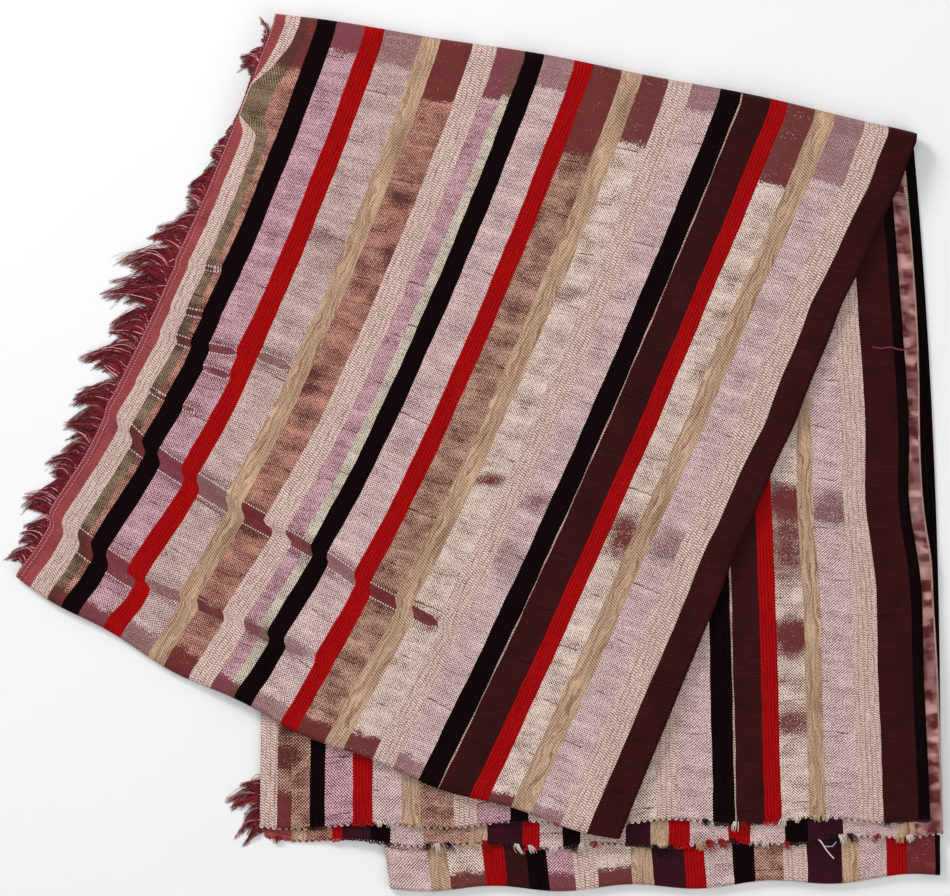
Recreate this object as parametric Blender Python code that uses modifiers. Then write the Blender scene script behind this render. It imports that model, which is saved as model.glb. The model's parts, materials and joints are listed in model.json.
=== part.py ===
"""A handwoven striped bedspread, folded and laid flat, with its warp fringe.

The cloth is one sheet folded back and forth, and every layer has its own outline. Units in the tables are
millimetres, as seen from above: x to the right, y away from the viewer, z up from the surface it lies on.
"""

import math
from collections import namedtuple

import bmesh
import bpy
import numpy as np
from mathutils import Vector

MM = 0.001

# Driving sizes
CLOTH_THICKNESS = 2.0
LAYER_PITCH = 3.5
EDGE_CLEARANCE = 4.0
DRAPE_WIDTH = 70.0
COLUMNS = 22
COLUMN_CROWDING = 0.6
FRINGE_GAP = 0.4
FRINGE_THICKNESS = 1.5

CLOTH_COLOR = (0.42, 0.20, 0.20, 1.0)
FRINGE_COLOR = (0.22, 0.03, 0.05, 1.0)

# A line across the cloth, from its left end to its right end. It is a fold or a woven edge.
# bow: how far its middle stands outward; wave, waves: height and number of the ripples along it.
Line = namedtuple("Line", "left_x left_y right_x right_y bow wave waves")
LINES = {
    "top": Line(-166.0, 365.0, 374.0, 265.0, 7.0, 0.8, 3.0),
    "flap_foot": Line(-385.0, -109.0, 123.0, -329.0, 24.0, 2.0, 4.5),
    "upper_foot": Line(-180.0, -320.0, 385.0, -313.0, 0.0, 2.5, 4.5),
    "middle_foot": Line(-176.0, -329.0, 396.0, -325.0, 9.0, 2.0, 5.5),
    "lower_foot": Line(-70.0, -372.0, 394.0, -361.0, 4.0, 2.5, 4.0),
}

# The layers, from the surface up. foot names the line at the foot. top_inset moves the top line in, and right_inset
# its right end. left_bow, right_bow: how far the middle of each side stands outward. rows: steps from top to foot.
Layer = namedtuple("Layer", "name level top_inset foot left_bow right_bow right_inset rows")
LAYERS = [
    Layer("bottom", 0, 0.0, "lower_foot", 0.0, 8.0, 0.0, 6),
    Layer("lower", 1, 14.0, "lower_foot", 0.0, 8.0, 8.0, 10),
    Layer("middle", 2, 14.0, "middle_foot", 0.0, 5.0, 8.0, 14),
    Layer("upper", 3, 14.0, "upper_foot", 0.0, 3.0, 22.0, 18),
    Layer("under_flap", 4, 14.0, "flap_foot", -10.0, -3.0, 22.0, 18),
    Layer("flap", 5, 0.0, "flap_foot", -10.0, -3.0, 0.0, 22),
]
LAYER = {layer.name: layer for layer in LAYERS}

# The sheet's path from one woven edge to the other: each run goes along a layer, and a fold leads to the next run.
# up: the run goes from foot to top. fold_rows: the steps round the fold that ends the run.
Run = namedtuple("Run", "layer up fold_rows")
PATH = [
    Run("upper", True, 3),
    Run("under_flap", False, 5),
    Run("flap", True, 7),
    Run("bottom", False, 5),
    Run("lower", True, 3),
    Run("middle", False, 0),
]

# Soft ridges raised in a layer, from one point to another. width: half width; height: at the crest.
Crease = namedtuple("Crease", "layer x1 y1 x2 y2 width height")
CREASES = [
    Crease("flap", -300, 15, -190, -55, 20, 4.0),
    Crease("flap", -190, -55, -36, -146, 24, 4.0),
    Crease("flap", -345, -75, -270, -130, 18, 3.5),
    Crease("flap", -270, -130, -145, -172, 20, 3.5),
    Crease("flap", -247, 160, -170, 85, 22, 2.5),
    Crease("flap", -195, 225, -60, 180, 26, 2.0),
    Crease("flap", -60, 60, 120, 20, 30, 2.5),
    Crease("flap", 10, -180, 150, -225, 26, 2.5),
    Crease("flap", 120, 230, 300, 170, 26, 2.0),
    Crease("upper", 250, -40, 390, -60, 22, 3.0),
    Crease("upper", 220, -150, 390, -165, 24, 2.5),
    Crease("upper", 290, 60, 380, 50, 20, 2.5),
]

# How much the top layer puffs up along a fold, and how far in that reaches.
Puff = namedtuple("Puff", "layer line height reach")
PUFFS = [
    Puff("flap", "flap_foot", 3.0, 26.0),
    Puff("lower", "lower_foot", 2.0, 20.0),
]

# Tufts that the locks of a fringe gather into. at: place along the fringe, 0 at the top and 1 at the foot;
# reach: how far the tip stands out from the edge; slant: how far it leans toward the foot for each unit of reach.
Tuft = namedtuple("Tuft", "at reach slant")
FLAP_TUFTS = [
    Tuft(0.00, 23, -0.95),
    Tuft(0.045, 22, 0.20),
    Tuft(0.10, 7, 0.40),
    Tuft(0.17, 7, 0.40),
    Tuft(0.20, 10, 0.40),
    Tuft(0.27, 16, 0.45),
    Tuft(0.37, 29, 0.30),
    Tuft(0.43, 49, 0.23),
    Tuft(0.48, 47, 0.35),
    Tuft(0.54, 35, 0.45),
    Tuft(0.60, 46, 0.45),
    Tuft(0.68, 36, 0.35),
    Tuft(0.73, 33, 0.36),
    Tuft(0.80, 27, 0.40),
    Tuft(0.88, 25, 0.36),
    Tuft(0.94, 20, 0.40),
    Tuft(0.99, 18, 0.33),
]
CORNER_TUFTS = [
    Tuft(0.00, 30, 0.12),
    Tuft(0.35, 38, 0.20),
    Tuft(0.75, 24, 0.42),
    Tuft(1.00, 22, 0.55),
]

# A fringe: the layer whose left edge carries it, the stretch of that edge from top (0) to foot (1), and its locks.
Fringe = namedtuple("Fringe", "layer start end locks tufts")
FRINGES = {
    "fringe_flap": Fringe("flap", 0.02, 0.985, 92, FLAP_TUFTS),
    "fringe_corner": Fringe("middle", 0.93, 0.995, 9, CORNER_TUFTS),
}
STRIP_WIDTH = 3.0
LOCK_SHARE = 0.72
LOCK_STEPS = 3
LOCK_TIP = 0.25
LOCK_GATHER = 0.0075
LEAST_REACH = 6.0
FLOOR_RUN = 0.5


def smooth_step(value):
    """0 below 0, 1 above 1, and a soft S between."""
    value = np.clip(value, 0.0, 1.0)
    return value * value * (3.0 - 2.0 * value)


def outward(line):
    """The unit direction, seen from above, that leads out of the cloth at this line."""
    along = np.array([line.right_x - line.left_x, line.right_y - line.left_y])
    along /= np.linalg.norm(along)
    left_hand = np.array([-along[1], along[0]])
    return left_hand if line is LINES["top"] else -left_hand


def on_line(line, across, inset=0.0, right_inset=0.0):
    """The point on a line at this share of its length, moved into the cloth by inset."""
    left = np.array([line.left_x, line.left_y])
    right = np.array([line.right_x, line.right_y])
    shift = line.bow * 4 * across * (1 - across)
    shift += line.wave * math.sin(2 * math.pi * line.waves * across)
    along = (right - left) / np.linalg.norm(right - left)
    return left + (right - left) * across + outward(line) * (shift - inset) - along * right_inset * across


def fold_radius(layer, foot):
    """Half the height between a layer and the one that its fold leads to, before any puff."""
    for i, run in enumerate(PATH[:-1]):
        pair = {run.layer, PATH[i + 1].layer}
        if layer.name in pair and run.up != foot:
            low, high = sorted(LAYER[name].level for name in pair)
            return (high - low) * LAYER_PITCH / 2 + puff_at_fold(pair) / 2
    return 0.0


def puff_at_fold(pair):
    return sum(puff.height for puff in PUFFS if puff.layer in pair and LAYER[puff.layer].foot == puff.line)


def in_plan(layer, down, across):
    """Where a layer's point lies, seen from above. down: 0 at its top line and 1 at its foot."""
    top = on_line(LINES["top"], across, layer.top_inset + fold_radius(layer, False), layer.right_inset)
    foot_line = LINES[layer.foot]
    foot = on_line(foot_line, across, fold_radius(layer, True))
    bow = 4 * down * (1 - down) * (layer.right_bow * across - layer.left_bow * (1 - across))
    side = (foot - top) / np.linalg.norm(foot - top)
    return top + (foot - top) * down + np.array([-side[1], side[0]]) * bow


def outline(layer, steps=8):
    """The layer's edge as a closed ring of points."""
    shares = np.linspace(0, 1, steps)
    ring = [in_plan(layer, 0.0, share) for share in shares]
    ring += [in_plan(layer, share, 1.0) for share in shares[1:]]
    ring += [in_plan(layer, 1.0, share) for share in shares[::-1][1:]]
    ring += [in_plan(layer, share, 0.0) for share in shares[::-1][1:-1]]
    return np.array(ring)


RINGS = {layer.name: outline(layer) for layer in LAYERS}


def to_segments(point, starts, ends):
    """The distance from a point to the nearest of some segments."""
    spans = ends - starts
    share = ((point - starts) * spans).sum(axis=1) / (spans * spans).sum(axis=1)
    nearest = starts + spans * np.clip(share, 0, 1)[:, None]
    return float(np.sqrt(((point - nearest) ** 2).sum(axis=1)).min())


def outside(ring, point):
    """How far a point lies outside a ring, and 0 inside it."""
    ends = np.roll(ring, -1, axis=0)
    crosses = (ring[:, 1] > point[1]) != (ends[:, 1] > point[1])
    with np.errstate(divide="ignore", invalid="ignore"):
        where = ring[:, 0] + (point[1] - ring[:, 1]) * (ends[:, 0] - ring[:, 0]) / (ends[:, 1] - ring[:, 1])
    if np.count_nonzero(crosses & (where > point[0])) % 2:
        return 0.0
    return to_segments(point, ring, ends)


def swell(layer, point):
    """The height that a layer's own creases and puffs add at a point."""
    height = 0.0
    for crease in CREASES:
        if crease.layer == layer.name:
            start = np.array([[crease.x1, crease.y1]], float)
            end = np.array([[crease.x2, crease.y2]], float)
            height += crease.height * math.exp(-((to_segments(point, start, end) / crease.width) ** 2))
    for puff in PUFFS:
        if puff.layer == layer.name:
            line = LINES[puff.line]
            steps = [on_line(line, share) for share in np.linspace(0, 1, 12)]
            away = to_segments(point, np.array(steps[:-1]), np.array(steps[1:]))
            height += puff.height * math.exp(-((away / puff.reach) ** 2))
    return height


def height_of(layer, point):
    """The height of a layer's middle at a point: it lies on every layer below it, and drapes off their edges."""
    height = CLOTH_THICKNESS / 2 + swell(layer, point)
    for below in LAYERS[: layer.level]:
        away = outside(RINGS[below.name], point)
        cover = 1 - smooth_step((away - EDGE_CLEARANCE) / DRAPE_WIDTH)
        if cover > 0:
            height += (LAYER_PITCH + swell(below, point)) * cover
    return height


def on_layer(layer, down, across):
    point = in_plan(layer, down, across)
    return np.array([point[0], point[1], height_of(layer, point)])


def round_fold(before, after, foot, turn, across):
    """A point on the half circle between two layers. turn: 0 at the end of the first and 1 at the start of the next."""
    down = 1.0 if foot else 0.0
    start = on_layer(before, down, across)
    end = on_layer(after, down, across)
    out = outward(LINES[before.foot] if foot else LINES["top"])
    middle = (start + end) / 2
    reach = abs(start[2] - end[2]) / 2
    angle = math.pi * turn
    point = middle + (start - middle) * math.cos(angle)
    point[:2] += out * reach * math.sin(angle)
    return point


def stations():
    """The rows of the sheet in order: (layer, next layer or None, up, share)."""
    rows = []
    for i, run in enumerate(PATH):
        layer = LAYER[run.layer]
        for step in range(layer.rows + 1):
            rows.append((layer, None, run.up, step / layer.rows))
        if run.fold_rows:
            after = LAYER[PATH[i + 1].layer]
            for step in range(1, run.fold_rows):
                rows.append((layer, after, run.up, step / run.fold_rows))
    return rows


def sheet_point(station, across):
    layer, after, up, share = station
    if after:
        return round_fold(layer, after, not up, share, across)
    return on_layer(layer, 1 - share if up else share, across)


def crowded(share):
    """Columns stand closer at the left, where the cloth drapes to the surface."""
    return share * (1 - COLUMN_CROWDING) + share * share * COLUMN_CROWDING


def make_material(name, color, roughness):
    material = bpy.data.materials.new(name)
    material.use_nodes = True
    shader = material.node_tree.nodes["Principled BSDF"]
    shader.inputs["Base Color"].default_value = color
    shader.inputs["Roughness"].default_value = roughness
    return material


def add_object(name, bm, material, collection):
    mesh = bpy.data.meshes.new(name)
    bm.to_mesh(mesh)
    bm.free()
    mesh.materials.append(material)
    piece = bpy.data.objects.new(name, mesh)
    collection.objects.link(piece)
    return piece


def make_cloth(material, collection):
    """A plane grid carried onto the folded path, then thickened."""
    rows = stations()
    bm = bmesh.new()
    bmesh.ops.create_grid(bm, x_segments=COLUMNS, y_segments=len(rows) - 1, size=0.5)
    for vertex in bm.verts:
        across = crowded(vertex.co.x + 0.5)
        row = rows[round((vertex.co.y + 0.5) * (len(rows) - 1))]
        vertex.co = Vector(sheet_point(row, across) * MM)
    piece = add_object("cloth", bm, material, collection)
    thick = piece.modifiers.new("Thickness", "SOLIDIFY")
    thick.thickness = CLOTH_THICKNESS * MM
    thick.offset = 0.0
    piece.data.shade_smooth()
    return piece


def lock_reach(fringe, place, edge_length):
    """How far a lock stands out, and how far it leans for each unit of that: drawn toward the nearest tuft's tip."""
    places = [tuft.at for tuft in fringe.tufts]
    tuft = min(fringe.tufts, key=lambda tuft: abs(tuft.at - place))
    away = (tuft.at - place) * edge_length
    reach = tuft.reach * (0.9 + 0.1 * math.cos(61.0 * place)) - abs(away) * 0.7
    slant = np.interp(place, places, [tuft.slant for tuft in fringe.tufts])
    return max(reach, LEAST_REACH), slant + away * LOCK_GATHER


def make_fringe(name, fringe, material, collection):
    """A narrow strip beside the cloth's edge, with every other stretch of its outer side drawn out into a lock."""
    layer = LAYER[fringe.layer]
    count = fringe.locks
    stops = [0.0]
    for i in range(count):
        stops += [(i + (1 - LOCK_SHARE) / 2) / count, (i + (1 + LOCK_SHARE) / 2) / count]
    stops += [1.0]
    edge = []
    for stop in stops:
        down = fringe.start + (fringe.end - fringe.start) * stop
        here = on_layer(layer, down, 0.0)
        ahead = in_plan(layer, min(down + 0.01, 1.0), 0.0) - in_plan(layer, max(down - 0.01, 0.0), 0.0)
        toward_foot = ahead / np.linalg.norm(ahead)
        out = np.array([toward_foot[1], -toward_foot[0]])
        edge.append((here, toward_foot, out))
    edge_length = np.linalg.norm(edge[-1][0] - edge[0][0])
    half = FRINGE_THICKNESS / 2

    bm = bmesh.new()
    bmesh.ops.create_cube(bm, size=1.0)
    long_edges = [e for e in bm.edges if abs(e.verts[0].co.y - e.verts[1].co.y) > 0.5]
    bmesh.ops.subdivide_edges(bm, edges=long_edges, cuts=len(stops) - 2, use_grid_fill=True)
    roots = {}
    for vertex in bm.verts:
        step = round((vertex.co.y + 0.5) * (len(stops) - 1))
        here, toward_foot, out = edge[step]
        away = FRINGE_GAP + (STRIP_WIDTH if vertex.co.x < 0 else 0.0)
        plan = here[:2] + out * away
        height = max(here[2], half) + (half if vertex.co.z > 0 else -half)
        vertex.co = Vector((plan[0], plan[1], height))
        if away > STRIP_WIDTH:
            roots.setdefault(step, []).append(vertex)
    faces = []
    for i in range(count):
        corners = roots[2 * i + 1] + roots[2 * i + 2]
        faces.append(next(f for f in corners[0].link_faces if all(v in corners for v in f.verts)))
    for i, face in enumerate(faces):
        place = (i + 0.5) / count
        here, toward_foot, out = edge[2 * i + 1]
        root = Vector(face.calc_center_median())
        reach, slant = lock_reach(fringe, place, edge_length)
        offsets = [v.co - root for v in face.verts]
        for step in range(1, LOCK_STEPS + 1):
            share = step / LOCK_STEPS
            scale = 1 - (1 - LOCK_TIP) * share ** 1.5
            plan = np.array(root[:2]) + (out + toward_foot * slant) * reach * share
            height = half * scale + (root.z - half) * float(1 - smooth_step(share / FLOOR_RUN))
            face = bmesh.ops.extrude_discrete_faces(bm, faces=[face])["faces"][0]
            for vertex, offset in zip(face.verts, offsets):
                rise = math.copysign(half, offset.z) * scale
                vertex.co = Vector((plan[0] + offset.x * scale, plan[1] + offset.y * scale, height + rise))
    for vertex in bm.verts:
        vertex.co *= MM
    bmesh.ops.recalc_face_normals(bm, faces=bm.faces)
    return add_object(name, bm, material, collection)


def main():
    for old in list(bpy.data.objects):
        bpy.data.objects.remove(old, do_unlink=True)
    collection = bpy.data.collections.new("bedspread")
    bpy.context.scene.collection.children.link(collection)
    make_cloth(make_material("woven_cloth", CLOTH_COLOR, 0.85), collection)
    fringe_material = make_material("fringe_yarn", FRINGE_COLOR, 0.6)
    for name, fringe in FRINGES.items():
        make_fringe(name, fringe, fringe_material, collection)


main()
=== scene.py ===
"""The looks of a handwoven striped bedspread, folded and laid flat, with its warp fringe.

The cloth is the same folded sheet as in the part's source, at a finer step. Units in the tables are
millimetres, as seen from above: x to the right, y away from the viewer, z up from the surface it lies on.
"""

import json
import math
from collections import namedtuple

import bpy
import numpy as np
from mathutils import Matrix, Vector

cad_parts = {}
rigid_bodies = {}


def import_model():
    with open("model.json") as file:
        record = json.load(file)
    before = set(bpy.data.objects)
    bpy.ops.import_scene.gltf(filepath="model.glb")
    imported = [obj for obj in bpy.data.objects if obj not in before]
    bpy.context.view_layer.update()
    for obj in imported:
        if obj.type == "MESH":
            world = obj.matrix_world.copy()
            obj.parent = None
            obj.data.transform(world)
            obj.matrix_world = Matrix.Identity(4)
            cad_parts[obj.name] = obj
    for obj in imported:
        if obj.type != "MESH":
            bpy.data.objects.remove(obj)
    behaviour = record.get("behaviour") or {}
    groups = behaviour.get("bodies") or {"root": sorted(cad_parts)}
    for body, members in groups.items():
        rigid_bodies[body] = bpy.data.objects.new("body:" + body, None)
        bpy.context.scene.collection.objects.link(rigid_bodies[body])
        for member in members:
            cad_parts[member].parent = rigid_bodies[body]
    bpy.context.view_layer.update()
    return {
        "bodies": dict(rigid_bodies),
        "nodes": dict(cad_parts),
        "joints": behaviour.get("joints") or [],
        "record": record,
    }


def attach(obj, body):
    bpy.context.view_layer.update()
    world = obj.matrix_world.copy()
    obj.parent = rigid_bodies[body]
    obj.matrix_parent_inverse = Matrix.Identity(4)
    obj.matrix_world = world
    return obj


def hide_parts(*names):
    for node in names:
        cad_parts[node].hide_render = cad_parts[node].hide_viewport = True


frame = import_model()

MM = 0.001

# Driving sizes of the folded sheet, as in the part's source
CLOTH_THICKNESS = 2.0
LAYER_PITCH = 3.5
EDGE_CLEARANCE = 4.0
DRAPE_WIDTH = 70.0
FRINGE_GAP = 0.4

# A line across the cloth, from its left end to its right end. It is a fold or a woven edge.
# bow: how far its middle stands outward; wave, waves: height and number of the ripples along it.
Line = namedtuple("Line", "left_x left_y right_x right_y bow wave waves")
LINES = {
    "top": Line(-166.0, 365.0, 374.0, 265.0, 7.0, 0.8, 3.0),
    "flap_foot": Line(-385.0, -109.0, 123.0, -329.0, 24.0, 2.0, 4.5),
    "upper_foot": Line(-180.0, -320.0, 385.0, -313.0, 0.0, 2.5, 4.5),
    "middle_foot": Line(-176.0, -329.0, 396.0, -325.0, 9.0, 2.0, 5.5),
    "lower_foot": Line(-70.0, -372.0, 394.0, -361.0, 4.0, 2.5, 4.0),
}

# The layers, from the surface up. top_inset moves the top line in, and right_inset its right end. left_bow
# and right_bow: how far the middle of each side stands outward. rows: steps from top to foot; crowd: above 1,
# they are closer at the foot.
Layer = namedtuple("Layer", "name level top_inset foot left_bow right_bow right_inset rows crowd")
LAYERS = [
    Layer("bottom", 0, 0.0, "lower_foot", 0.0, 8.0, 0.0, 14, 1.0),
    Layer("lower", 1, 14.0, "lower_foot", 0.0, 8.0, 8.0, 44, 1.7),
    Layer("middle", 2, 14.0, "middle_foot", 0.0, 5.0, 8.0, 50, 1.7),
    Layer("upper", 3, 14.0, "upper_foot", 0.0, 3.0, 22.0, 84, 1.3),
    Layer("under_flap", 4, 14.0, "flap_foot", -10.0, -3.0, 22.0, 18, 1.0),
    Layer("flap", 5, 0.0, "flap_foot", -10.0, -3.0, 0.0, 132, 1.0),
]
LAYER = {layer.name: layer for layer in LAYERS}
COLUMNS = 128

# The sheet's path from one woven edge to the other. up: the run goes from foot to top.
Run = namedtuple("Run", "layer up fold_rows")
PATH = [
    Run("upper", True, 5),
    Run("under_flap", False, 9),
    Run("flap", True, 12),
    Run("bottom", False, 9),
    Run("lower", True, 5),
    Run("middle", False, 0),
]

# Soft ridges raised in a layer, from one point to another. width: half width; height: at the crest.
Crease = namedtuple("Crease", "x1 y1 x2 y2 width height")
CREASES = {
    "flap": (
        Crease(-300, 15, -190, -55, 20, 4.0),
        Crease(-190, -55, -36, -146, 24, 4.0),
        Crease(-345, -75, -270, -130, 18, 3.5),
        Crease(-270, -130, -145, -172, 20, 3.5),
        Crease(-247, 160, -170, 85, 22, 2.5),
        Crease(-195, 225, -60, 180, 26, 2.0),
        Crease(-60, 60, 120, 20, 30, 2.5),
        Crease(10, -180, 150, -225, 26, 2.5),
        Crease(120, 230, 300, 170, 26, 2.0),
    ),
    "upper": (
        Crease(250, -40, 390, -60, 22, 3.0),
        Crease(220, -150, 390, -165, 24, 2.5),
        Crease(290, 60, 380, 50, 20, 2.5),
    ),
}

# How much a layer puffs up along a fold, and how far in that reaches
Puff = namedtuple("Puff", "layer line height reach")
PUFFS = [
    Puff("flap", "flap_foot", 3.0, 26.0),
    Puff("lower", "lower_foot", 2.0, 20.0),
]

# Sharp tucks where the cloth was pressed, along a line of points. Painted shade darkens the weave there, and
# the darkest tucks lie between two dotted lines of painted highlight. half: half the painted dark band's
# width;
# depth: of the fine dent; slide: how far the stripes step sideways; dark: of the painted shade, 0 to 1.
Tuck = namedtuple("Tuck", "points half depth slide dark")
TUCKS = {
    "flap": (
        Tuck([(-298, 18), (-284, 4), (-258, -15), (-226, -35), (-190, -57), (-166, -70)], 8.0, 1.6, 4.5, 1.0),
        Tuck([(-166, -70), (-120, -96), (-88, -119), (-36, -146)], 5.5, 1.2, 3.0, 0.95),
        Tuck([(-352, -64), (-318, -90), (-284, -112)], 9.0, 1.4, 4.5, 1.0),
        Tuck([(-284, -112), (-220, -138), (-145, -172)], 5.0, 1.2, 3.0, 0.62),
        Tuck([(-254, 92), (-236, 86), (-204, 80)], 4.0, 1.0, 2.0, 0.85),
        Tuck([(-178, 76), (-158, 68)], 4.5, 0.8, 0.0, 0.8),
        Tuck([(-226, 66), (-208, 60)], 3.5, 0.8, 1.5, 0.9),
        Tuck([(-250, 116), (-232, 112), (-222, 110)], 3.2, 0.8, 1.0, 0.9),
        Tuck([(-262, 158), (-240, 153), (-214, 149)], 2.2, 0.6, 1.0, 0.7),
        Tuck([(-276, 50), (-252, 36), (-236, 30)], 2.6, 0.6, 1.0, 0.8),
    ),
    "upper": (Tuck([(262, -57), (320, -60), (380, -62)], 4.0, 0.8, 0.0, 0.5),),
}
# How far from its ends and its line a tuck fades out
TUCK_END = 16.0
TUCK_REACH = 60.0

# Places where a layer is pushed sideways: how far, to the right, at the middle and how far that reaches.
Push = namedtuple("Push", "x y reach_x reach_y shift")
PUSHES = {
    "upper": (Push(375, -45, 90, 40, -4.5), Push(375, -120, 90, 40, 2.0)),
    "middle": (Push(390, -25, 60, 90, -6.0), Push(386, -96, 50, 26, 2.0)),
    "lower": (Push(392, -72, 40, 12, -6.5), Push(396, -106, 40, 16, 3.0)),
    "flap": (
        Push(330, 220, 60, 22, 2.5),
        Push(285, 120, 60, 20, -2.5),
        Push(240, 20, 60, 22, 2.5),
        Push(190, -90, 60, 22, -2.0),
    ),
}

# The slight unevenness of every layer but the lowest, and the share at each end of a layer that is free of it
RIPPLE = 0.22
CALM_END = 0.05

# The kinds of stripe. weave: how it is woven; light and deep: its two yarn colours as seen, except that for
# the ribbed and corded ones they are mostly the lit crests of the yarn and the painted shade in the grooves
# between
# them. For the speckled ones, share: how much of the deep yarn shows where the cloth is flat; cloud: how much
# that varies from place to place; dark, solid: the colour of the painted shade along folds and tucks, where
# the silky weft no longer catches the light, and how solid it is there.
# The colour of most painted shade along folds and tucks
MAROON_FOLD_SHADE = (98, 33, 30)
Kind = namedtuple("Kind", "weave light deep share cloud dark solid", defaults=(0.5, 0.0, MAROON_FOLD_SHADE, 0.0))
KINDS = {
    "black": Kind("ribbed", (25, 9, 10), (3, 0, 1)),
    "red": Kind("ribbed", (186, 16, 17), (126, 2, 3)),
    "beige": Kind("corded", (220, 186, 156), (122, 84, 62)),
    "cream": Kind("ladder", (244, 218, 204), (142, 92, 86)),
    "line": Kind("ladder", (216, 190, 172), (120, 74, 64)),
    "pale": Kind("speckled", (232, 204, 196), (108, 66, 62), 0.50, 0.08, (150, 104, 104), 0.3),
    "lavender": Kind("speckled", (238, 210, 206), (118, 76, 78), 0.48, 0.08, (150, 104, 108), 0.3),
    "lilac": Kind("speckled", (228, 184, 192), (96, 42, 54), 0.50, 0.16, (112, 46, 56), 0.85),
    "salmon": Kind("speckled", (214, 154, 134), (80, 30, 25), 0.55, 0.42, MAROON_FOLD_SHADE, 0.95),
    "rust": Kind("speckled", (212, 166, 144), (78, 30, 22), 0.56, 0.46, MAROON_FOLD_SHADE, 0.95),
    "olive": Kind("speckled", (158, 132, 104), (58, 32, 22), 0.53, 0.25, (82, 34, 24), 0.9),
    "green": Kind("speckled", (228, 214, 194), (98, 70, 62), 0.44, 0.12, MAROON_FOLD_SHADE, 0.8),
    "white": Kind("speckled", (240, 220, 204), (108, 54, 50), 0.42, 0.28, MAROON_FOLD_SHADE, 0.95),
    "blotchy": Kind("speckled", (230, 176, 168), (90, 17, 21), 0.76, 2.00, (100, 22, 26), 0.9),
    "maroon": Kind("dense", (70, 18, 21), (34, 4, 7)),
    "purple": Kind("dense", (68, 16, 32), (34, 4, 14)),
    "rose": Kind("dense", (176, 88, 88), (124, 46, 50)),
    "seam": Kind("stitched", (220, 168, 162), (140, 58, 64)),
}
# Painted highlight: the colour of the light dots along the edges of the darkest tucks
TUCK_HIGHLIGHT_DOTS = (240, 224, 212)

# Stripes across each layer, from left to right. The widths are as seen along the top and along the foot.
# head, tail: how far the painted shade reaches down from the top fold and up from the foot.
Stripe = namedtuple("Stripe", "kind top foot head tail", defaults=(0, 0))


def even_stripes(rows, head=0):
    """Stripes as wide at the foot as at the top. Only the speckled ones have painted shade at the top fold."""
    heads = {kind: head if KINDS[kind].weave == "speckled" else 0 for kind, width in rows}
    return [Stripe(kind, width, width, heads[kind]) for kind, width in rows]


FLAP_STRIPES = [Stripe(*row) for row in (
    ("seam", 3.0, 7.5), ("rose", 6.5, 7.0), ("cream", 12.0, 16.5), ("olive", 8.0, 8.5, 45, 12),
    ("salmon", 6.0, 5.0, 45, 12), ("black", 16.5, 15.5), ("lilac", 23.5, 23.5, 26, 14), ("red", 17.0, 16.0),
    ("pale", 31.5, 27.0, 30, 18), ("beige", 15.5, 15.5), ("salmon", 27.0, 23.0, 55, 20), ("cream", 21.0, 20.0),
    ("lilac", 15.0, 13.0, 46, 14), ("green", 8.0, 8.5, 40, 12), ("black", 16.5, 15.5),
    ("lavender", 25.5, 28.0, 30, 16), ("red", 16.0, 15.5), ("rust", 24.5, 24.5, 78, 16), ("beige", 17.0, 16.5),
    ("white", 22.5, 25.0, 60, 18), ("cream", 19.5, 18.5), ("lavender", 24.5, 23.5, 24, 14),
    ("black", 17.5, 17.5), ("line", 1.1, 1.1), ("maroon", 24.0, 26.0), ("red", 14.5, 15.0),
    ("white", 23.5, 19.5, 72, 10), ("beige", 17.0, 17.5), ("lavender", 25.5, 26.0, 60, 10),
    ("cream", 20.5, 22.5), ("maroon", 24.5, 27.0),
)]
# The bottom layer shows only its black right edge, beside the layers on it
BOTTOM_STRIPES = FLAP_STRIPES[:-1] + [Stripe("black", 24.5, 27.0)]
UPPER_STRIPES = even_stripes((
    ("cream", 14.5), ("rust", 12.0), ("rust", 16.0), ("black", 13.0), ("lilac", 23.5), ("red", 17.0),
    ("lavender", 24.5), ("beige", 16.0), ("rust", 28.5), ("cream", 19.5), ("lilac", 28.5), ("black", 15.0),
    ("lavender", 24.5), ("red", 17.0), ("rust", 24.5), ("beige", 20.0), ("white", 22.5), ("cream", 17.0),
    ("lavender", 31.0), ("black", 18.5), ("line", 1.5), ("maroon", 23.5), ("red", 14.5), ("white", 23.5),
    ("beige", 14.5), ("lavender", 27.5), ("cream", 21.0), ("maroon", 29.5), ("black", 9.5),
), head=20)
UPPER_STRIPES[1] = UPPER_STRIPES[1]._replace(tail=30)
UPPER_STRIPES[-1] = UPPER_STRIPES[-1]._replace(foot=10.0)
MIDDLE_STRIPES = even_stripes((
    ("rose", 23.0), ("beige", 12.0), ("salmon", 22.0), ("red", 9.0), ("purple", 23.5), ("black", 17.0),
    ("lavender", 28.0), ("rust", 38.5), ("beige", 14.5), ("purple", 30.0), ("red", 14.5), ("lavender", 19.0),
    ("black", 15.0), ("cream", 17.0), ("lavender", 21.0), ("purple", 21.0), ("beige", 15.0), ("red", 18.5),
    ("lavender", 32.0), ("red", 18.5), ("lavender", 29.5), ("black", 19.0), ("purple", 29.5),
    ("lavender", 46.0), ("beige", 14.5), ("blotchy", 22.0), ("line", 1.6),
))
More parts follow.
